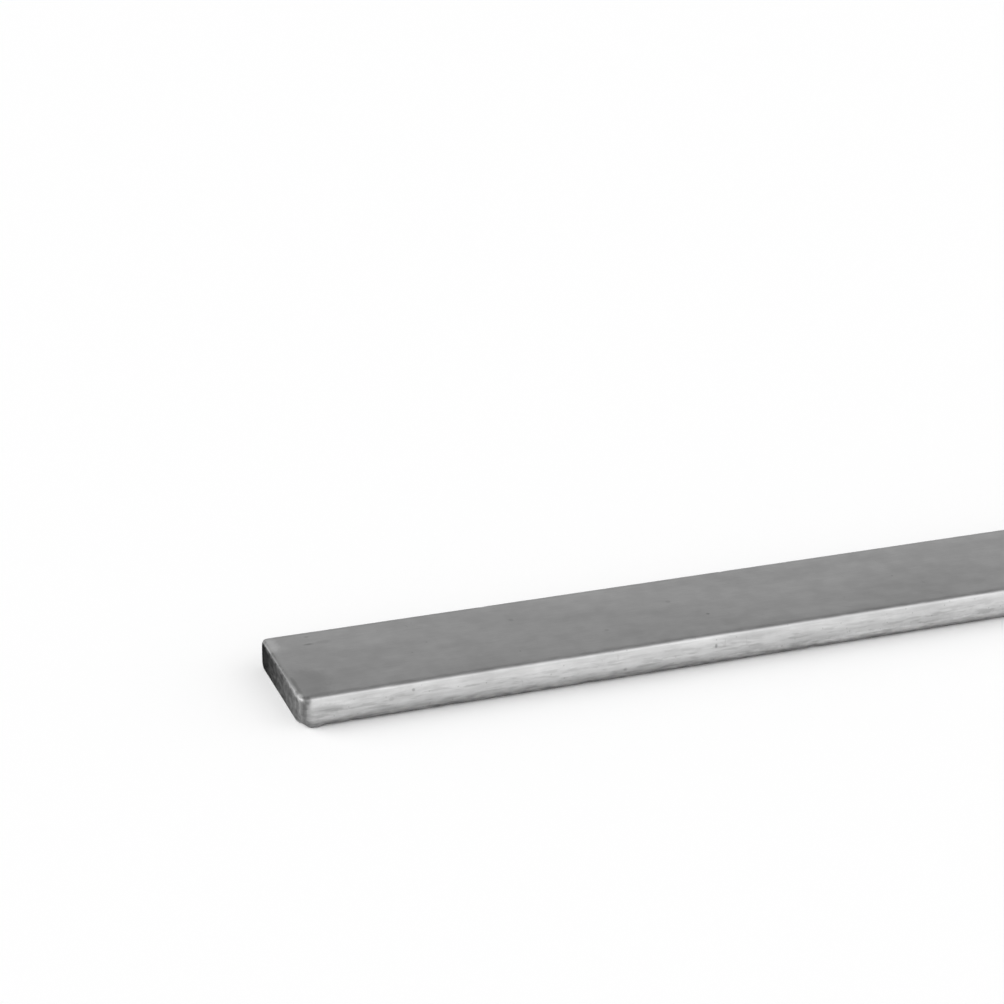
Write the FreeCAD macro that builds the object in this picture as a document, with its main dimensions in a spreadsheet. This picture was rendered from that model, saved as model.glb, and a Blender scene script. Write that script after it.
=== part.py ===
# Stainless steel flat bar: one hot-rolled length of flat stock, cut square at both ends.
# Frame in millimetres: X along the bar, Y across its width, Z up. The origin is the middle of the
# face that the bar lies on. The section is drawn with the slightly crowned narrow edges that the
# rolls leave. Then every corner is rounded: the four upright ones at the ends, and, in one unbroken
# run round the whole bar, the corners of the upper face and those of the lower face.
import FreeCAD, Part

import math
import os

import Sketcher

doc = FreeCAD.newDocument("flat_bar_model")

# Driving dimensions, in millimetres.
sizes = doc.addObject("Spreadsheet::Sheet", "sizes")
DIMENSIONS = (
    ("bar_length", 1000.0, "stock length, end to end"),
    ("bar_width", 25.0, "across the two crowned edges, at their widest"),
    ("bar_thickness", 6.0, "between the wide faces"),
    ("crown_radius", 20.0, "bulge of the narrow edges, seen in section"),
    ("upright_corner_radius", 1.3, "the four upright corners, seen from above"),
    ("upper_corner_radius", 0.8, "all round the upper face"),
    ("lower_corner_radius", 1.1, "all round the lower face"),
)
for row, (alias, value, meaning) in enumerate(DIMENSIONS, start=1):
    sizes.set(f"A{row}", alias)
    sizes.set(f"B{row}", str(value))
    sizes.set(f"C{row}", meaning)
    sizes.setAlias(f"B{row}", alias)
doc.recompute()


def size(alias):
    """A driving dimension as a plain number."""
    return float(getattr(sizes, alias))


def origin_plane(body, role):
    """The body's own origin plane with that role."""
    return next(f for f in body.Origin.OriginFeatures if f.Role == role)


def point(across, up):
    return FreeCAD.Vector(across, up, 0)


def draw_section(sketch):
    """The rolled section before its corners are rounded: two wide faces and two crowned edges."""
    thickness = size("bar_thickness")
    crown = size("crown_radius")
    middle = thickness / 2
    crown_across = size("bar_width") / 2 - crown
    lean = math.asin(middle / crown)
    corner_across = crown_across + crown * math.cos(lean)

    def crowned_edge(centre, start, end):
        circle = Part.Circle(centre, FreeCAD.Vector(0, 0, 1), crown)
        return sketch.addGeometry(Part.ArcOfCircle(circle, start, end))

    low_left, low_right = point(-corner_across, 0), point(corner_across, 0)
    high_left, high_right = point(-corner_across, thickness), point(corner_across, thickness)
    bottom = sketch.addGeometry(Part.LineSegment(low_left, low_right))
    edge_right = crowned_edge(point(crown_across, middle), -lean, lean)
    top = sketch.addGeometry(Part.LineSegment(high_right, high_left))
    edge_left = crowned_edge(point(-crown_across, middle), math.pi - lean, math.pi + lean)

    start, end, centre = 1, 2, 3
    outline = (bottom, edge_right, top, edge_left)
    for here, following in zip(outline, outline[1:] + outline[:1]):
        sketch.addConstraint(Sketcher.Constraint("Coincident", here, end, following, start))
    for wide_face in (bottom, top):
        sketch.addConstraint(Sketcher.Constraint("Horizontal", wide_face))
    sketch.addConstraint(Sketcher.Constraint("PointOnObject", bottom, start, -1))
    sketch.addConstraint(Sketcher.Constraint("Equal", edge_right, edge_left))

    origin = (-1, 1)

    def bind(constraint, name, expression):
        index = sketch.addConstraint(constraint)
        sketch.renameConstraint(index, name)
        sketch.setExpression(f"Constraints.{name}", expression)

    def place(geometry, at, kind, name, value, expression):
        bind(Sketcher.Constraint(kind, *origin, geometry, at, value), name, expression)

    half_height = "sizes.bar_thickness / 2"
    inset = "sizes.crown_radius - sizes.bar_width / 2"
    bind(Sketcher.Constraint("Radius", edge_right, crown), "crown", "sizes.crown_radius")
    place(top, start, "DistanceY", "thickness", thickness, "sizes.bar_thickness")
    place(edge_right, centre, "DistanceX", "right_crown_across", crown_across, f"-({inset})")
    place(edge_left, centre, "DistanceX", "left_crown_across", -crown_across, inset)
    place(edge_right, centre, "DistanceY", "right_crown_up", middle, half_height)
    place(edge_left, centre, "DistanceY", "left_crown_up", middle, half_height)


def upright_edges(shape):
    """The four upright edges at the ends, the only arcs of the bar before its corners are rounded."""
    return [
        f"Edge{number}"
        for number, edge in enumerate(shape.Edges, start=1)
        if edge.Curve.TypeId == "Part::GeomCircle"
    ]


def wide_face(shape, pick):
    """The highest wide face where pick is max, and the lowest where it is min."""
    number = pick(range(len(shape.Faces)), key=lambda n: shape.Faces[n].CenterOfMass.z)
    return [f"Face{number + 1}"]


def round_corners(body, base, name, chosen, alias):
    """Rounds the chosen edges, or every edge of the chosen face, with one of the driving radii."""
    rounded = body.newObject("PartDesign::Fillet", name)
    rounded.Base = (base, chosen)
    rounded.setExpression("Radius", f"sizes.{alias}")
    body.Tip = rounded
    doc.recompute()
    return rounded


def make_flat_bar():
    """The bar: its section rolled out to length, then the corners rounded."""
    body = doc.addObject("PartDesign::Body", "flat_bar_body")
    body.Label = "flat_bar"

    section = body.newObject("Sketcher::SketchObject", "rolled_section")
    section.AttachmentSupport = (origin_plane(body, "YZ_Plane"), [""])
    section.MapMode = "FlatFace"
    draw_section(section)
    doc.recompute()

    rolled = body.newObject("PartDesign::Pad", "rolled_length")
    rolled.Profile = section
    rolled.SideType = "Symmetric"
    rolled.setExpression("Length", "sizes.bar_length")
    doc.recompute()

    chosen = upright_edges(rolled.Shape)
    uprights = round_corners(body, rolled, "upright_corners", chosen, "upright_corner_radius")
    chosen = wide_face(uprights.Shape, max)
    upper = round_corners(body, uprights, "upper_corners", chosen, "upper_corner_radius")
    chosen = wide_face(upper.Shape, min)
    round_corners(body, upper, "lower_corners", chosen, "lower_corner_radius")
    return body


def check(pieces):
    """Stops if a feature failed or a piece is not one sound solid."""
    for feature in doc.Objects:
        faults = [state for state in feature.State if state in ("Invalid", "Error")]
        if faults:
            raise RuntimeError(f"{feature.Name} failed: {faults}")
    for piece in pieces:
        shape = piece.Shape
        if shape.isNull() or not shape.isValid() or len(shape.Solids) != 1:
            raise RuntimeError(f"{piece.Label} is not one sound solid")


pieces = (make_flat_bar(),)
check(pieces)

os.makedirs("parts", exist_ok=True)
for piece in pieces:
    piece.Shape.exportStep(f"parts/{piece.Label}.step")
    box = piece.Shape.optimalBoundingBox()
    print(
        f"{piece.Label}: {box.XLength:.3f} x {box.YLength:.3f} x {box.ZLength:.3f} mm,"
        f" volume {piece.Shape.Volume:.1f} mm3, {len(piece.Shape.Faces)} faces"
    )
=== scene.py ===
import math

import bmesh
import bpy
from mathutils import Matrix, Vector


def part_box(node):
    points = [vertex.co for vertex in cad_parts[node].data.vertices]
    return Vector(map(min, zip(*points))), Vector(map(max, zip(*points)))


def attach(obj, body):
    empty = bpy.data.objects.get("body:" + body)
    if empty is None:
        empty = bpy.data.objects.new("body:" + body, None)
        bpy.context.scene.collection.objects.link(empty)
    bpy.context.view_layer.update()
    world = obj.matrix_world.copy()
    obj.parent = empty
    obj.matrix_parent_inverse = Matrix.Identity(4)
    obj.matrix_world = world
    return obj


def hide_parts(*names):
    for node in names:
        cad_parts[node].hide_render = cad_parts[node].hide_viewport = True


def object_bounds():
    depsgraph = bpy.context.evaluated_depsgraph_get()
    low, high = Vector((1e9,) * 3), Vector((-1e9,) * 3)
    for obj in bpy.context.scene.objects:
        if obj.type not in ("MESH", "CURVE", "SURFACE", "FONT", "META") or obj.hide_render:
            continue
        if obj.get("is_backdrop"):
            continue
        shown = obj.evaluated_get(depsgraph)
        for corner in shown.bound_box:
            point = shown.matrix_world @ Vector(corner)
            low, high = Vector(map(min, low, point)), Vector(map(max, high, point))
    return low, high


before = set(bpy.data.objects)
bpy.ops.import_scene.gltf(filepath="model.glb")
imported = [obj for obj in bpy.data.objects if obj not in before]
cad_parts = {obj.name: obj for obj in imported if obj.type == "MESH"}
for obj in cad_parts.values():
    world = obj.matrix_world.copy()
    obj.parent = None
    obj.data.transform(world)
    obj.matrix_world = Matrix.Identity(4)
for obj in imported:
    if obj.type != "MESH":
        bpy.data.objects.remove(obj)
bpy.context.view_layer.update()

# The flat bar
# One length of hot-rolled stainless steel, annealed and pickled. The rolls leave its wide faces
# flat, its narrow edges slightly crowned and its long corners round. Both ends are cut square and
# then rounded off.
MM = 0.001
bar_low, bar_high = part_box("flat_bar")
LENGTH = bar_high.x - bar_low.x
WIDTH = bar_high.y - bar_low.y
THICKNESS = bar_high.z - bar_low.z
UPPER_CORNER = 0.8 * MM
LOWER_CORNER = 1.1 * MM
CROWN_RADIUS = 20.0 * MM
CROWN_DEPTH = CROWN_RADIUS - math.sqrt(CROWN_RADIUS**2 - (THICKNESS / 2) ** 2)
EDGE_FACE = WIDTH / 2 - CROWN_DEPTH

# Places nearer than TINY count as the same, and so do directions that agree by more than SQUARE.
X, Y, Z = 0, 1, 2
TINY = 1e-6
SQUARE = 0.999


def choose(kind, wanted):
    """Selects only the verts, edges or faces of the mesh being edited that are wanted."""
    bpy.ops.mesh.select_all(action="DESELECT")
    bpy.ops.mesh.select_mode(type={"verts": "VERT", "edges": "EDGE", "faces": "FACE"}[kind])
    mesh = bmesh.from_edit_mesh(bpy.context.edit_object.data)
    mesh.normal_update()
    for element in getattr(mesh, kind):
        if wanted(element):
            element.select_set(True)
    mesh.select_flush_mode()
    bmesh.update_edit_mesh(bpy.context.edit_object.data)


def along(edge, axis):
    """Whether an edge runs along an axis."""
    step = edge.verts[1].co - edge.verts[0].co
    return abs(step[axis]) > SQUARE * step.length


def facing(axis):
    """Picks out the faces that look along an axis, either way."""
    return lambda face: abs(face.normal[axis]) > SQUARE


def cut(axis, place, wanted):
    """Cuts the wanted faces with the plane square to an axis."""
    choose("faces", wanted)
    normal = Vector((0, 0, 0))
    normal[axis] = 1
    bpy.ops.mesh.bisect(plane_co=normal * place, plane_no=normal)


on_end, on_narrow_edge, on_wide_face = facing(X), facing(Y), facing(Z)


def off_end(face):
    return not on_end(face)


bpy.ops.object.select_all(action="DESELECT")
bpy.ops.mesh.primitive_cube_add(
    size=1,
    location=(0, 0, THICKNESS / 2),
    scale=(LENGTH, 2 * EDGE_FACE, THICKNESS),
)
bar = bpy.context.active_object
bar.name = "rolled_flat_bar"
bpy.ops.object.transform_apply(location=True, rotation=True, scale=True)
ROLLED, CUT = 0, 1
bpy.ops.object.material_slot_add()
bpy.ops.object.material_slot_add()
bpy.ops.object.mode_set(mode="EDIT")

# The round long corners.
CORNER_SEGMENTS = 8
ROUND = 0.5
for height, radius in ((THICKNESS, UPPER_CORNER), (0, LOWER_CORNER)):
    choose("edges", lambda edge: along(edge, X) and abs(edge.verts[0].co.z - height) < TINY)
    bpy.ops.mesh.bevel(offset=radius, segments=CORNER_SEGMENTS, profile=ROUND, affect="EDGES")

# Lines along the narrow edges and the wide faces, so that both can be shaped.
EDGE_STRIPS = 10
WIDE_STRIPS = 14
STRAIGHT = THICKNESS - UPPER_CORNER - LOWER_CORNER
LOWER_FLAT_HALF = EDGE_FACE - LOWER_CORNER
for step in range(1, EDGE_STRIPS):
    cut(Z, LOWER_CORNER + STRAIGHT * step / EDGE_STRIPS, on_narrow_edge)
for step in range(1, WIDE_STRIPS):
    cut(Y, LOWER_FLAT_HALF * (2 * step / WIDE_STRIPS - 1), on_wide_face)

# The crown: each line between the wide faces is moved out to the arc that the rolls leave on the
# narrow edges. Heights are rounded to DECIMALS of a metre, so that each line counts once.
DECIMALS = 7
shape = bmesh.from_edit_mesh(bar.data)
heights = sorted({round(vert.co.z, DECIMALS) for vert in shape.verts if vert.co.z > 0})
for height in heights[:-1]:
    rise = height - THICKNESS / 2
    bulge = math.sqrt(CROWN_RADIUS**2 - rise**2) - (CROWN_RADIUS - CROWN_DEPTH)
    choose("verts", lambda vert: abs(vert.co.z - height) < TINY)
    shape = bmesh.from_edit_mesh(bar.data)
    half = max(vert.co.y for vert in shape.verts if vert.select)
    bpy.ops.transform.resize(value=(1, (half + bulge) / half, 1), center_override=(0, 0, 0))

# The upper face falls away a little towards its long corners: how far each line is from the corner
# and how far it drops, in millimetres.
FALL = ((3.0, 0.005), (1.5, 0.019), (0.7, 0.037))
CORNER_FALL = 0.06 * MM
UPPER_FLAT_HALF = EDGE_FACE - UPPER_CORNER
for from_corner, drop in FALL:
    for side in (-1, 1):
        line = side * (UPPER_FLAT_HALF - from_corner * MM)
        cut(Y, line, lambda face: face.normal.z > SQUARE)
        choose(
            "verts",
            lambda vert: abs(vert.co.y - line) < TINY and vert.co.z > THICKNESS - TINY,
        )
        bpy.ops.transform.translate(value=(0, 0, -drop * MM))
choose(
    "verts",
    lambda vert: abs(vert.co.y) > UPPER_FLAT_HALF - TINY
    and vert.co.z > THICKNESS - UPPER_CORNER - TINY,
)
bpy.ops.transform.translate(value=(0, 0, -CORNER_FALL))

# Both ends are rounded: rings close to the end, given by their distance from it in millimetres, are
# drawn in towards the middle of the section.
END_X = LENGTH / 2
UPRIGHT_CORNER = 1.3 * MM
ROUND_RINGS = (0, 0.02, 0.06, 0.13, 0.23, 0.35, 0.5, 0.65, 0.8, 0.95, 1.1, 1.3)


def rounding(radius, from_end):
    """How far a rounded corner has left its side at a distance from the end."""
    return radius - math.sqrt(radius**2 - max(radius - from_end, 0) ** 2)


for from_end in ROUND_RINGS[1:]:
    for side in (-1, 1):
        cut(X, side * (END_X - from_end * MM), off_end)
for from_end in ROUND_RINGS:
    ring = END_X - from_end * MM
    narrower = rounding(UPRIGHT_CORNER, from_end * MM) / (WIDTH / 2)
    lowered = rounding(UPPER_CORNER, from_end * MM)
    raised = rounding(LOWER_CORNER, from_end * MM)
    thinner = (lowered + raised) / THICKNESS
    still = raised / thinner if thinner > 0 else 0
    choose("verts", lambda vert: abs(abs(vert.co.x) - ring) < TINY)
    bpy.ops.transform.resize(
        value=(1, 1 - narrower, 1 - thinner), center_override=(0, 0, still)
    )

# What lies between the end and this ring is the cut metal.
CUT_RING = 0.13 * MM
choose("faces", lambda face: abs(face.calc_center_median().x) > END_X - CUT_RING)
bar.active_material_index = CUT
bpy.ops.object.material_slot_assign()

# A grid on the cut faces, and rings along the length that are closest near the ends. A stretch is
# divided in two steps, because one step makes no more than 100 cuts.
END_COLUMNS = 24
END_ROWS = 6
END_ZONE = 150 * MM
ZONE_STEPS = (20, 14)
MIDDLE_STEPS = (20, 22)
ZONE_EDGE = END_X - END_ZONE
for step in range(1, END_COLUMNS):
    cut(Y, (WIDTH / 2 - UPRIGHT_CORNER) * (2 * step / END_COLUMNS - 1), on_end)
for step in range(1, END_ROWS):
    cut(Z, THICKNESS * step / END_ROWS, on_end)
for side in (-1, 1):
    cut(X, side * ZONE_EDGE, off_end)


def off_middle(edge):
    """How far the middle of an edge is from the middle of the bar, along it."""
    return abs(edge.verts[0].co.x + edge.verts[1].co.x) / 2


for in_zone, steps in ((True, ZONE_STEPS), (False, MIDDLE_STEPS)):
    for parts in steps:
        choose(
            "edges",
            lambda edge: along(edge, X)
            and off_middle(edge) < END_X - UPRIGHT_CORNER
            and (off_middle(edge) > ZONE_EDGE) == in_zone,
        )
        bpy.ops.mesh.subdivide(number_cuts=parts - 1)


def push(place, reach, move, falloff, spread):
    """Moves the verts within reach of a place, and draws those around them along."""
    choose("verts", lambda vert: (vert.co - place).length < reach)
    bpy.ops.transform.translate(
        value=move,
        use_proportional_edit=True,
        proportional_edit_falloff=falloff,
        proportional_size=spread,
    )


# The front lower corner of the left end has been knocked in. Just beyond the blow, a burr leaves
# the long corner nearly sharp.
KNOCKED = Vector((-END_X, -WIDTH / 2 + UPRIGHT_CORNER / 2, 0.4 * MM))
KNOCK_REACH = 0.9 * MM
KNOCK_MOVE = (0.5 * MM, 0.7 * MM, 0.1 * MM)
KNOCK_SPREAD = 2.0 * MM
push(KNOCKED, KNOCK_REACH, KNOCK_MOVE, "SMOOTH", KNOCK_SPREAD)
BURR = Vector((2.6 * MM - END_X, -EDGE_FACE, 0))
BURR_REACH = 1.15 * MM
BURR_SHARPENED = 0.35
BURR_SPREAD = 1.2 * MM
choose("verts", lambda vert: (vert.co - BURR).length < BURR_REACH)
bpy.ops.transform.resize(
    value=(1, BURR_SHARPENED, BURR_SHARPENED),
    center_override=BURR,
    use_proportional_edit=True,
    proportional_edit_falloff="SMOOTH",
    proportional_size=BURR_SPREAD,
)

# Handling has left small nicks in the long corners: place along the bar from the left end, side,
# height, depth and spread, in millimetres.
NICKS = (
    (9.5, -1, 0.3, 0.14, 0.9),
    (16.4, -1, 5.7, 0.05, 0.6),
    (27.0, -1, 0.3, 0.16, 1.1),
    (41.0, 1, 5.7, 0.07, 0.9),
    (52.5, -1, 0.3, 0.12, 1.4),
    (71.0, -1, 5.7, 0.05, 0.8),
    (88.0, 1, 5.7, 0.08, 0.7),
    (96.0, -1, 0.3, 0.14, 1.2),
    (118.0, -1, 5.7, 0.05, 1.0),
)
NICK_INSET = 0.3 * MM
NICK_REACH = 0.45 * MM
for from_left, side, above, depth, spread in NICKS:
    place = Vector((from_left * MM - END_X, side * (WIDTH / 2 - NICK_INSET), above * MM))
    inwards = math.copysign(depth, THICKNESS / 2 - place.z)
    push(place, NICK_REACH, (0, -side * depth * MM, inwards * MM), "SHARP", spread * MM)

bpy.ops.mesh.select_all(action="SELECT")
bpy.ops.mesh.normals_make_consistent(inside=False)
bpy.ops.object.mode_set(mode="OBJECT")

# The rolls leave the narrow edges very slightly uneven along the bar. This fades out over the last
# stretch before each end.
UNEVEN_DEPTH = 0.16 * MM
UNEVEN_SIZE = 7 * MM
UNEVEN_FADE = 4 * MM
narrow_edges = bar.vertex_groups.new(name="narrow_edges")
for vert in bar.data.vertices:
    in_from_side = WIDTH / 2 - abs(vert.co.y)
    in_from_end = END_X - abs(vert.co.x)
    share = min(1, max(0, 1 - in_from_side / UPPER_CORNER), max(0, in_from_end / UNEVEN_FADE))
    if share > 0:
        narrow_edges.add([vert.index], share, "REPLACE")
rolling = bpy.data.textures.new("uneven_rolling", "CLOUDS")
rolling.noise_scale = UNEVEN_SIZE
uneven = bar.modifiers.new("uneven_rolling", "DISPLACE")
uneven.texture = rolling
uneven.texture_coords = "LOCAL"
uneven.vertex_group = narrow_edges.name
uneven.mid_level = 1
uneven.strength = UNEVEN_DEPTH
bpy.ops.object.modifier_apply(modifier=uneven.name)
SMOOTH_BELOW = math.radians(40)
bpy.ops.object.shade_smooth_by_angle(angle=SMOOTH_BELOW)


def node(tree, kind, **settings):
    """Adds a node of a kind, with its settings."""
    made = tree.nodes.new(kind)
    for name, value in settings.items():
        setattr(made, name, value)
    return made


def feed(tree, socket, value):
    """Sets an input to a number or a vector, or links another node's output to it."""
    if isinstance(value, bpy.types.NodeSocket):
        tree.links.new(value, socket)
    else:
        socket.default_value = value


def on_values(tree, kind, operation, *values):
    """Adds a Math or Vector Math node, and feeds its inputs in order."""
    made = node(tree, kind, operation=operation)
    for socket, value in zip(made.inputs, values):
        feed(tree, socket, value)
    return made


def work_out(tree, operation, *values):
    """The result of a Math node."""
    return on_values(tree, "ShaderNodeMath", operation, *values).outputs["Value"]


def on_vectors(tree, operation, *values):
    """The result of a Vector Math node."""
    return on_values(tree, "ShaderNodeVectorMath", operation, *values).outputs["Vector"]


def fade(tree, value, start, stop):
    """0 up to start, 1 from stop on, and smooth between them."""
    made = node(tree, "ShaderNodeMapRange", interpolation_type="SMOOTHSTEP")
    for name, setting in (("Value", value), ("From Min", start), ("From Max", stop)):
        feed(tree, made.inputs[name], setting)
    return made.outputs["Result"]


def product(tree, *values):
    """All the values multiplied together."""
    total = values[0]
    for value in values[1:]:
        total = work_out(tree, "MULTIPLY", total, value)
    return total


def between(tree, value, start, full, still, stop):
    """0 up to start, 1 from full to still, and 0 again from stop on."""
    return product(tree, fade(tree, value, start, full), fade(tree, value, stop, still))


def with_shares(tree, total, *parts):
    """The total with a share of each value added to it."""
    for value, share in parts:
        total = work_out(tree, "MULTIPLY_ADD", value, share, total)
    return total


def shade(tree, tone, mask, change):
    """Makes the tone lighter or, below 0, darker by a share where the mask is 1."""
    return product(tree, tone, work_out(tree, "MULTIPLY_ADD", mask, change, 1))


def sway(tree, tone, value, share):
    """Moves the tone up and down by a share as a value runs from 0 to 1."""
    return product(tree, tone, work_out(tree, "MULTIPLY_ADD", value, 2 * share, 1 - share))


def ragged(tree, mask, rag, depth, least):
    """Makes a mask uneven: it keeps the least share of it, and a depth more where the rag is 1."""
    return product(tree, mask, work_out(tree, "MULTIPLY_ADD", rag, depth, least))


def new_group(name, inputs, outputs):
    """A shader node group with its sockets, and the nodes of its two sides."""
    group = bpy.data.node_groups.new(name, "ShaderNodeTree")
    for socket, kind, value in inputs:
        made = group.interface.new_socket(socket, in_out="INPUT", socket_type=kind)
        made.default_value = value
    for socket in outputs:
        group.interface.new_socket(socket, in_out="OUTPUT", socket_type="NodeSocketFloat")
    return group, node(group, "NodeGroupInput"), node(group, "NodeGroupOutput")


def place_group(tree, group, **values):
    """Places a group in a material with its own values."""
    made = node(tree, "ShaderNodeGroup", node_tree=group)
    for name, value in values.items():
        feed(tree, made.inputs[name.title()], value)
    return made


def use(tree, group, **values):
    """The one result of a group that is placed with its own values."""
    return place_group(tree, group, **values).outputs[0]


def in_millimetres(tree):
    """The place on the bar from Object coordinates, in millimetres."""
    place = node(tree, "ShaderNodeTexCoord").outputs["Object"]
    return on_vectors(tree, "DIVIDE", place, (MM, MM, MM))


def scaled(tree, place, size, seed):
    """A place measured in a pattern's own size, and moved to its own part of the pattern."""
    return on_vectors(tree, "ADD", on_vectors(tree, "DIVIDE", place, size), seed)


def noise_at(tree, place, scale, detail):
    """Soft noise from 0 to 1 at a place."""
    made = node(tree, "ShaderNodeTexNoise")
    for name, value in (("Vector", place), ("Scale", scale), ("Detail", detail)):
        feed(tree, made.inputs[name], value)
    return made.outputs["Fac"]


# Where a point is on the bar: how far in from the nearer end and side and how high, in
# millimetres, and how far from the back to the front, from 0 to 1.
ZONES = ("From End", "From Side", "Height", "To Front")
zones, _, result = new_group("stock_zones", (), ZONES)
split = node(zones, "ShaderNodeSeparateXYZ")
feed(zones, split.inputs[0], in_millimetres(zones))
for name, axis, half in (("From End", "X", END_X), ("From Side", "Y", WIDTH / 2)):
    out = work_out(zones, "ABSOLUTE", split.outputs[axis])
    feed(zones, result.inputs[name], work_out(zones, "SUBTRACT", half / MM, out))
feed(zones, result.inputs["Height"], split.outputs["Z"])
to_front = work_out(zones, "MULTIPLY_ADD", split.outputs["Y"], -MM / WIDTH, 0.5)
feed(zones, result.inputs["To Front"], to_front)

# Soft grain whose size along each axis is given in millimetres. Noise keeps mostly to its middle
# half, so that half is spread over 0 to 1.
MIDDLE_HALF = (0.25, 0.75)
grain, start, result = new_group(
    "metal_grain",
    (
        ("Size", "NodeSocketVector", (1, 1, 1)),
        ("Seed", "NodeSocketFloat", 0),
        ("Detail", "NodeSocketFloat", 2),
    ),
    ("Value",),
)
place = scaled(grain, in_millimetres(grain), start.outputs["Size"], start.outputs["Seed"])
clouds = noise_at(grain, place, 1, start.outputs["Detail"])
feed(grain, result.inputs["Value"], fade(grain, clouds, *MIDDLE_HALF))

# Round pits: one may lie in each cell of the given size, and a share of the cells has one.
pits, start, result = new_group(
    "metal_pits",
    (
        ("Cell", "NodeSocketFloat", 5),
        ("Radius", "NodeSocketFloat", 0.1),
        ("Share", "NodeSocketFloat", 0.3),
        ("Seed", "NodeSocketFloat", 0),
    ),
    ("Mask",),
)
place = scaled(pits, in_millimetres(pits), start.outputs["Cell"], start.outputs["Seed"])
cells = node(pits, "ShaderNodeTexVoronoi")
cells.inputs["Scale"].default_value = 1
feed(pits, cells.inputs["Vector"], place)
dot = fade(pits, cells.outputs["Distance"], start.outputs["Radius"], 0)
cell_colour = node(pits, "ShaderNodeSeparateColor")
feed(pits, cell_colour.inputs[0], cells.outputs["Color"])
pitted = work_out(pits, "LESS_THAN", cell_colour.outputs["Red"], start.outputs["Share"])
feed(pits, result.inputs["Mask"], product(pits, dot, pitted))

# Hair-thin scratches: the line along which a stretched, turned noise is at its middle. It is broken
# up by a finer noise, and kept only where that one is high.
NOISE_MIDDLE = 0.5
FINER = 1.7
KEPT_WHERE = (0.54, 0.62)
scratches, start, result = new_group(
    "fine_scratches",
    (
        ("Size", "NodeSocketVector", (20, 2, 2)),
        ("Turn", "NodeSocketFloat", 0),
        ("Thinness", "NodeSocketFloat", 0.01),
        ("Seed", "NodeSocketFloat", 0),
    ),
    ("Mask",),
)
turned = node(scratches, "ShaderNodeVectorRotate", rotation_type="Z_AXIS")
feed(scratches, turned.inputs["Vector"], in_millimetres(scratches))
feed(scratches, turned.inputs["Angle"], start.outputs["Turn"])
size, seed = start.outputs["Size"], start.outputs["Seed"]
place = scaled(scratches, turned.outputs["Vector"], size, seed)
off_line = work_out(scratches, "SUBTRACT", noise_at(scratches, place, 1, 0), NOISE_MIDDLE)
off_line = work_out(scratches, "ABSOLUTE", off_line)
line = fade(scratches, off_line, start.outputs["Thinness"], 0)
kept = fade(scratches, noise_at(scratches, place, FINER, 1), *KEPT_WHERE)
feed(scratches, result.inputs["Mask"], product(scratches, line, kept))

# One soft mark, ragged at its rim: its middle and how far it reaches each way, in millimetres. It
# is at its full strength within a share of its reach.
FULL_WITHIN = 0.3
RIM_NOISE = 1.6
RIM_DEPTH = 0.8
RIM_LEAST = 0.6
mark, start, result = new_group(
    "single_mark",
    (("Middle", "NodeSocketVector", (0, 0, 0)), ("Reach", "NodeSocketVector", (1, 1, 1))),
    ("Mask",),
)
place = in_millimetres(mark)
out = on_vectors(mark, "SUBTRACT", place, start.outputs["Middle"])
out = on_vectors(mark, "DIVIDE", out, start.outputs["Reach"])
away = on_values(mark, "ShaderNodeVectorMath", "LENGTH", out).outputs["Value"]
away = ragged(mark, away, noise_at(mark, place, RIM_NOISE, 2), RIM_DEPTH, RIM_LEAST)
feed(mark, result.inputs["Mask"], fade(mark, away, 1, FULL_WITHIN))


def new_metal(name):
    """A bare metal, its nodes and its shader, and where a point is on the bar."""
    metal = bpy.data.materials.new(name)
    metal.use_nodes = True
    shader = metal.node_tree.nodes["Principled BSDF"]
    shader.inputs["Metallic"].default_value = 1
    where = place_group(metal.node_tree, zones)
    return metal, metal.node_tree, shader, [where.outputs[zone] for zone in ZONES]


def raise_relief(tree, shader, relief, height):
    """Lifts the surface by a height where the relief is 1."""
    bump = node(tree, "ShaderNodeBump")
    bump.inputs["Strength"].default_value = 1
    bump.inputs["Distance"].default_value = height
    feed(tree, bump.inputs["Height"], relief)
    feed(tree, shader.inputs["Normal"], bump.outputs["Normal"])


# Pickled steel straight from the rolls: a soft grey with a lengthwise grain, streaked and speckled
# on the narrow edges, with painted shade and rough grime in the lower corners and a darker band
# round the cut ends. The cut metal is chipped by the same grain, so that the chips run across the
# rim.
CHIPS = {"size": (1.6, 1.6, 1.6), "seed": 5.7, "detail": 3}
steel, tree, shader, where = new_metal("pickled_rolled_steel")
from_end, from_side, height, to_front = where
patches = use(tree, grain, size=(26, 7, 7), seed=3.1, detail=1)
long_grain = use(tree, grain, size=(34, 1.6, 1.6), seed=7.7, detail=2)
fine_grain = use(tree, grain, size=(4, 0.3, 0.3), seed=1.9, detail=2)
mottle = use(tree, grain, size=(3.6, 3, 3), seed=6.6, detail=3)
edge_clouds = use(tree, grain, size=(10, 1.3, 1.3), seed=5.3, detail=3)
edge_blots = use(tree, grain, size=(3.2, 0.55, 0.55), seed=9.2, detail=2)
rag = use(tree, grain, size=(2.2, 0.5, 0.5), seed=4.6, detail=3)
chips = use(tree, grain, **CHIPS)
stains = use(tree, pits, cell=17, radius=0.09, share=0.4, seed=2.5)
pinholes = use(tree, pits, cell=3.6, radius=0.08, share=0.3, seed=6.4)
specks = use(tree, pits, cell=1.3, radius=0.17, share=0.4, seed=7.1)
handling = use(tree, scratches, size=(14, 3, 3), turn=0.5, thinness=0.006, seed=8.8)
drag = use(tree, scratches, size=(30, 1.4, 1.4), turn=0.03, thinness=0.012, seed=3.6)

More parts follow.
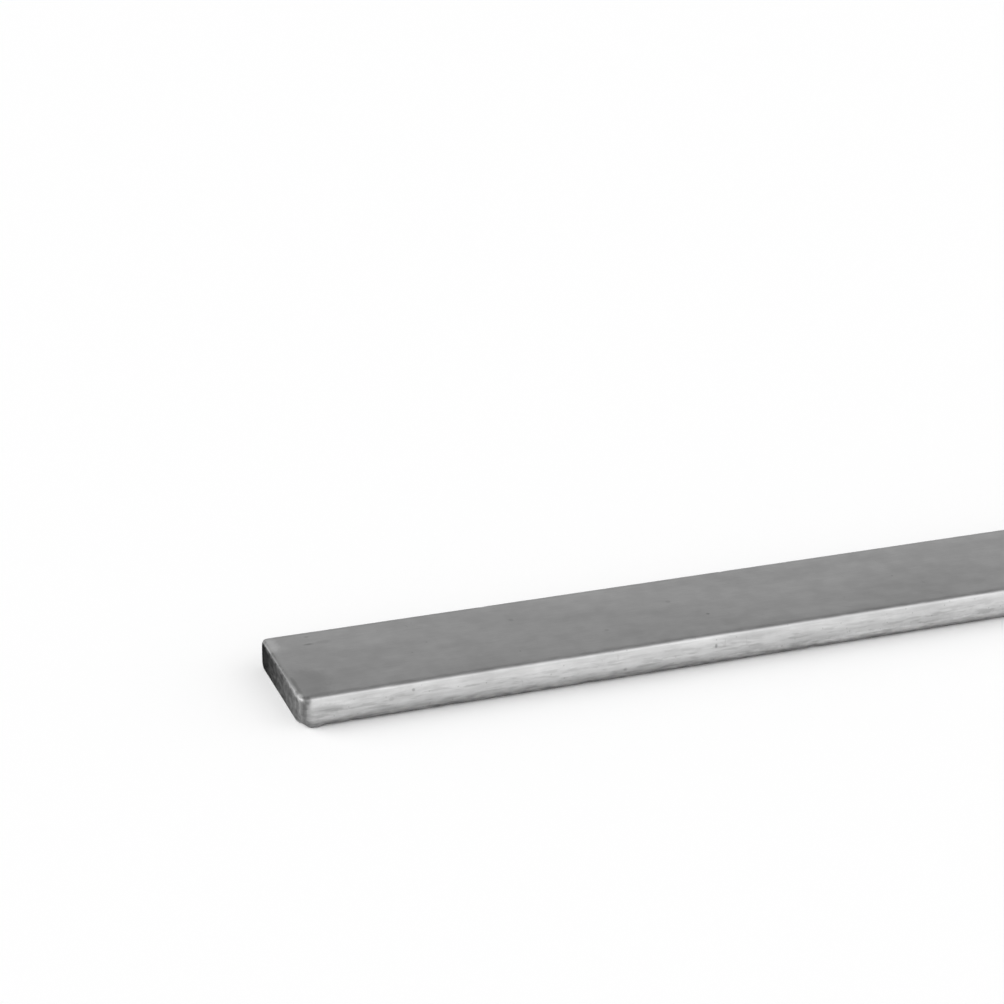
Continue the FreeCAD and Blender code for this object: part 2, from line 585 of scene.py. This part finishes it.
# Masks of the narrow edges and the wide faces. A fade over a distance from the end, the side or the
# floor runs between two values in millimetres.
on_edge = fade(tree, from_side, 0.75, 0.35)
blots = product(tree, edge_blots, on_edge)
edge_specks = product(tree, specks, on_edge)
edge_shade = product(tree, fade(tree, edge_blots, 0.45, 1), on_edge, fade(tree, height, 5.6, 3))
# Painted shade: the narrow edges grow darker towards the bottom.
painted_lower_edge_shade = product(tree, fade(tree, height, 5.2, 2), on_edge)
# Painted highlight: a lighter line near the top of the narrow edges.
painted_edge_highlight = product(tree, fade(tree, height, 4.4, 5.1), on_edge)
clouded = product(tree, work_out(tree, "SUBTRACT", edge_clouds, 0.5), on_edge)
clouded = work_out(tree, "ADD", clouded, 0.5)
# Painted shade: the front half of the wide faces is a shade darker.
painted_front_shade = product(tree, fade(tree, to_front, 0.1, 0.95), fade(tree, from_side, 0.8, 2))
# Painted shade in the lower long corners, which this mask also makes rougher, as grime.
low = product(tree, fade(tree, height, 3, 0.2), fade(tree, from_side, 2.2, 0.9))
grime_and_painted_shade = ragged(tree, low, rag, 0.5, 0.7)
# Painted shade: an uneven dark line along the upper long corners.
painted_shoulder_shade = product(tree, fade(tree, height, 5.6, 5.9), fade(tree, from_side, 1.9, 0.8))
painted_shoulder_shade = ragged(tree, painted_shoulder_shade, rag, 0.8, 0.6)

# Masks of the ends: their lower rim, which is given painted shade, a band, and a line and a patch
# of painted shade on their upright corners, and their upper rim, with painted shade at the back, a
# painted highlight at the front, and chips.
painted_end_low_shade = product(tree, fade(tree, height, 1.4, 0.3), fade(tree, from_end, 1.2, 0.5))
upright = product(tree, fade(tree, height, 5.9, 5.2), fade(tree, from_side, 3.5, 1.8))
end_band = product(tree, fade(tree, from_end, 2.6, 0.6), upright)
at_corner = fade(tree, from_side, 1.5, 0.7)
painted_corner_shade_line = product(tree, between(tree, from_end, 0.4, 0.8, 0.95, 1.35), at_corner)
at_cheek = between(tree, from_end, 0.1, 0.35, 0.55, 0.9)
painted_cheek_shade = product(tree, at_cheek, between(tree, height, 1.2, 2.6, 4.9, 5.5), at_corner)
end_arris = product(tree, fade(tree, from_end, 0.7, 0.35), fade(tree, height, 5.2, 5.6))
painted_rear_arris_shade = product(tree, end_arris, fade(tree, to_front, 1, 0.4))
painted_arris_highlight = product(tree, end_arris, fade(tree, to_front, 0.55, 0.95))
chipped_arris = product(tree, end_arris, fade(tree, chips, 0.45, 0.8))

# The tone of the steel, how far each grain sways it, and how far each mask changes it.
STEEL_TONE = 0.66
tone = STEEL_TONE
for value, share in (
    (patches, 0.05),
    (long_grain, 0.02),
    (fine_grain, 0.03),
    (mottle, 0.055),
    (clouded, 0.1),
):
    tone = sway(tree, tone, value, share)
for mask, change in (
    (on_edge, -0.035),
    (painted_lower_edge_shade, -0.08),
    (painted_edge_highlight, 0.05),
    (painted_front_shade, -0.11),
    (edge_shade, -0.2),
    (edge_specks, -0.3),
    (grime_and_painted_shade, -0.56),
    (painted_shoulder_shade, -0.22),
    (painted_end_low_shade, -0.5),
    (end_band, -0.52),
    (painted_corner_shade_line, -0.32),
    (painted_cheek_shade, -0.3),
    (painted_rear_arris_shade, -0.2),
    (painted_arris_highlight, 0.45),
    (chipped_arris, -0.3),
    (stains, -0.1),
    (pinholes, -0.3),
    (handling, -0.1),
):
    tone = shade(tree, tone, mask, change)

# Single rubs, stains and scuffs near the left end, with painted shade and a painted highlight at
# the
# top of its front corner: the middle, from the left end, across the bar and up, and the reach each
# way, in millimetres, then the change of tone.
MARKS = (
    ((0.8, 8.8, 6), (1.9, 4.5, 1), 0.3),
    ((1.4, -12.2, 0.4), (2.6, 1.6, 1.2), -0.12),
    # Painted shade in the gap at the top of the near front corner.
    ((1.45, -12.3, 5.4), (0.8, 1.2, 0.95), -0.44),
    # A painted highlight at the top of the near front corner.
    ((0.48, -11.3, 5.8), (0.7, 1.7, 0.6), 0.8),
    ((0.85, -7.5, 6), (0.5, 4.5, 1), -0.2),
    ((1.2, -12.4, 4.6), (0.9, 1, 0.9), -0.25),
    ((3.2, -7.0, 6), (5.0, 7.0, 1), -0.15),
    ((4.6, -12.4, 3.4), (5.0, 1, 1.3), -0.24),
    ((6.0, -12.4, 1.7), (6.0, 1, 0.6), 0.22),
    ((11.0, -12.3, 5.2), (9.0, 1, 0.9), -0.1),
    ((22.0, -12.4, 3.6), (9.0, 1, 1.3), -0.08),
    ((118.0, -12.4, 1.5), (48.0, 1, 0.8), 0.3),
    ((7.2, 7.0, 6), (1.2, 0.45, 1), -0.35),
    ((7.7, 9.9, 6), (0.6, 0.45, 1), -0.2),
    ((9.8, 7.2, 6), (2.4, 0.9, 1), -0.1),
    ((26.4, 6.9, 6), (2.2, 0.5, 1), -0.06),
    ((44.1, 4.8, 6), (0.7, 0.7, 1), -0.15),
    ((58.8, -4.4, 6), (0.6, 0.5, 1), -0.15),
    ((73.7, 2.8, 6), (0.6, 0.6, 1), -0.15),
    ((78.5, -4.1, 6), (0.5, 0.4, 1), -0.35),
    ((81.7, -8.3, 6), (3.5, 2, 1), -0.08),
    ((14.1, -12.4, 2.3), (3.4, 1, 0.3), -0.2),
    ((16.2, -12.4, 3.4), (0.6, 1, 0.55), -0.16),
    ((20.1, -12.4, 4.5), (0.4, 1, 0.4), -0.35),
    ((30.6, -12.4, 3.6), (2.2, 1, 0.28), -0.2),
    ((59.2, -12.4, 2), (0.5, 1, 0.45), -0.25),
    ((76.5, -12.4, 3.8), (0.35, 1, 0.6), -0.4),
)
for (from_left, aside, above), reach, change in MARKS:
    spot = use(tree, mark, middle=(from_left - END_X / MM, aside, above), reach=reach)
    tone = shade(tree, tone, spot, change)
feed(tree, shader.inputs["Base Color"], tone)

STEEL_ROUGHNESS = 0.31
roughness = with_shares(
    tree,
    STEEL_ROUGHNESS,
    (long_grain, 0.06),
    (fine_grain, 0.05),
    (grime_and_painted_shade, 0.15),
    (end_arris, 0.15),
)
feed(tree, shader.inputs["Roughness"], roughness)

STEEL_RELIEF = 0.006 * MM
relief = with_shares(
    tree,
    work_out(tree, "MULTIPLY", fine_grain, 0.35),
    (blots, 0.4),
    (pinholes, -3),
    (edge_specks, -2),
    (handling, -0.5),
    (drag, -0.6),
)
raise_relief(tree, shader, relief, STEEL_RELIEF)

# The cut face: torn, dull metal, with painted shade that makes it darkest at the back and along its
# lower rim, and a chipped upper rim with a painted highlight. It mirrors little at a glancing
# angle.
cut_steel, tree, shader, where = new_metal("cut_end_steel")
height, to_front = where[2:]
torn = use(tree, grain, size=(1, 1.5, 0.9), seed=2.2, detail=4)
tool_marks = use(tree, grain, size=(1, 0.22, 2.4), seed=6.1, detail=2)
pinholes = use(tree, pits, cell=1.1, radius=0.2, share=0.3, seed=5.1)
ragged_height = work_out(tree, "MULTIPLY_ADD", use(tree, grain, **CHIPS), 0.8, height)
# Painted shade along the lower rim of the cut face.
low = fade(tree, height, 1.8, 0.2)
high = fade(tree, height, 4.4, 5.2)
# A painted highlight along the upper rim, made ragged by the chips.
painted_chipped_rim_highlight = fade(tree, ragged_height, 5.45, 5.95)
# A painted highlight on the upper rim towards the front.
painted_front_rim_highlight = product(tree, fade(tree, height, 5.1, 5.5), fade(tree, to_front, 0.5, 0.95))

# Painted shade: the cut face runs from darkest at the back to lighter at the front.
CUT_TONE = 0.025
tone = with_shares(tree, CUT_TONE, (to_front, 0.34))
for value, share in ((torn, 0.25), (tool_marks, 0.2)):
    tone = sway(tree, tone, value, share)
tone = with_shares(tree, tone, (painted_chipped_rim_highlight, 0.16))
for mask, change in ((low, -0.25), (high, -0.1), (pinholes, -0.2)):
    tone = shade(tree, tone, mask, change)
tone = with_shares(tree, tone, (painted_front_rim_highlight, 0.2))
feed(tree, shader.inputs["Base Color"], tone)

CUT_GLANCE = 0.25
CUT_ROUGHNESS = 0.4
shader.inputs["Specular Tint"].default_value = (CUT_GLANCE, CUT_GLANCE, CUT_GLANCE, 1)
feed(tree, shader.inputs["Roughness"], with_shares(tree, CUT_ROUGHNESS, (torn, 0.15)))

CUT_RELIEF = 0.03 * MM
relief = work_out(tree, "MULTIPLY", tool_marks, 0.5)
relief = with_shares(tree, relief, (torn, 0.8), (pinholes, -0.8))
raise_relief(tree, shader, relief, CUT_RELIEF)

bar.data.materials[ROLLED] = steel
bar.data.materials[CUT] = cut_steel

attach(bar, "root")
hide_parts("flat_bar")

# The floor
# A wide, matt, nearly white sheet that the bar lies on. It reaches past every view and keeps the
# bar's soft shadow.
FLOOR_SIZE = 60.0
FLOOR_TONE = 0.96
bpy.ops.object.select_all(action="DESELECT")
bpy.ops.mesh.primitive_plane_add(size=FLOOR_SIZE, location=(0, 0, 0))
floor = bpy.context.active_object
floor.name = "floor"
floor_paint = bpy.data.materials.new("pale_floor")
floor_paint.use_nodes = True
shader = floor_paint.node_tree.nodes["Principled BSDF"]
shader.inputs["Base Color"].default_value = (FLOOR_TONE, FLOOR_TONE, FLOOR_TONE, 1)
shader.inputs["Roughness"].default_value = 1
shader.inputs["Specular IOR Level"].default_value = 0
floor.data.materials.append(floor_paint)
floor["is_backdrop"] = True

# The studio light
# The world holds a bright screen in front of the bar and a dimmer wall behind it, whose light
# changes with height. The steel mirrors both. A wide lamp lights the floor alone, and the steel
# doesn't mirror it.
WORLD_PEAK = 1.4
SCREEN_STOPS = -0.3
WALL_STARTS = 0.2
world = bpy.data.worlds.new("studio")
world.use_nodes = True
bpy.context.scene.world = world
studio = world.node_tree
direction = node(studio, "ShaderNodeTexCoord")
split = node(studio, "ShaderNodeSeparateXYZ")
feed(studio, split.inputs[0], direction.outputs["Generated"])


def by_height(*stops):
    """A ramp of grey from stops of elevation, in degrees, and brightness up to the peak."""
    ramp = node(studio, "ShaderNodeValToRGB")
    while len(ramp.color_ramp.elements) < len(stops):
        ramp.color_ramp.elements.new(0.5)
    for element, (elevation, brightness) in zip(ramp.color_ramp.elements, stops):
        grey = brightness / WORLD_PEAK
        element.position = math.sin(math.radians(elevation))
        element.color = (grey, grey, grey, 1)
    feed(studio, ramp.inputs["Fac"], split.outputs["Z"])
    return ramp.outputs["Color"]


wall = by_height((0, 0.92), (9, 0.58), (24, 0.41), (30, 0.36), (50, 0.34), (90, 0.36))
screen = by_height((0, 0.93), (8, 0.97), (30, 1.28), (45, 1.1), (58, 0.42), (90, 0.36))
behind = fade(studio, split.outputs["Y"], SCREEN_STOPS, WALL_STARTS)
blend = node(studio, "ShaderNodeMix", data_type="RGBA")
for name, value in (("Factor", behind), ("A", screen), ("B", wall)):
    feed(studio, blend.inputs[name], value)
background = studio.nodes["Background"]
feed(studio, background.inputs["Color"], blend.outputs["Result"])
background.inputs["Strength"].default_value = WORLD_PEAK

LAMP_STRENGTH = 2.28
LAMP_ANGLE = math.radians(60)
TO_LAMP = Vector((-0.76, 0.3, 0.6))
lamp = bpy.data.lights.new("wide_lamp", "SUN")
lamp.energy = LAMP_STRENGTH
lamp.angle = LAMP_ANGLE
sun = bpy.data.objects.new("wide_lamp", lamp)
bpy.context.collection.objects.link(sun)
sun.visible_glossy = False
sun.rotation_mode = "QUATERNION"
sun.rotation_quaternion = TO_LAMP.to_track_quat("Z", "Y")

# The camera
# It looks down along the bar from in front of its left end. The end's lower front corner lies at
# CORNER_DEPTH along the view and at CORNER_PIXEL in the picture.
PHOTO_SIDE = 1004
LENS = 100.0
SENSOR = 36.0
NEAREST = 0.01
FARTHEST = 200.0
AZIMUTH = math.radians(-20.44)
ELEVATION = math.radians(23.66)
ROLL = math.radians(0.81)
CORNER_PIXEL = (300.5, 731.5)
CORNER_DEPTH = 470.12 * MM

forward = Vector(
    (
        -math.sin(AZIMUTH) * math.cos(ELEVATION),
        math.cos(AZIMUTH) * math.cos(ELEVATION),
        -math.sin(ELEVATION),
    )
)
level_right = Vector((math.cos(AZIMUTH), math.sin(AZIMUTH), 0))
level_up = level_right.cross(forward)
right = level_right * math.cos(ROLL) + level_up * math.sin(ROLL)
up = level_up * math.cos(ROLL) - level_right * math.sin(ROLL)
pixels_per_slope = PHOTO_SIDE * LENS / SENSOR
slope_right = (CORNER_PIXEL[0] - PHOTO_SIDE / 2) / pixels_per_slope
slope_up = -(CORNER_PIXEL[1] - PHOTO_SIDE / 2) / pixels_per_slope
corner = Vector((bar_low.x, bar_low.y, 0))
eye = corner - (forward + right * slope_right + up * slope_up) * CORNER_DEPTH

camera_data = bpy.data.cameras.new("camera")
camera_data.lens = LENS
camera_data.sensor_width = SENSOR
camera_data.clip_start = NEAREST
camera_data.clip_end = FARTHEST
camera = bpy.data.objects.new("camera", camera_data)
bpy.context.collection.objects.link(camera)
camera.matrix_world = Matrix.Translation(eye) @ Matrix((right, up, -forward)).transposed().to_4x4()
bpy.context.scene.camera = camera
bpy.context.scene.view_settings.view_transform = "Standard"

low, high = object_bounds()
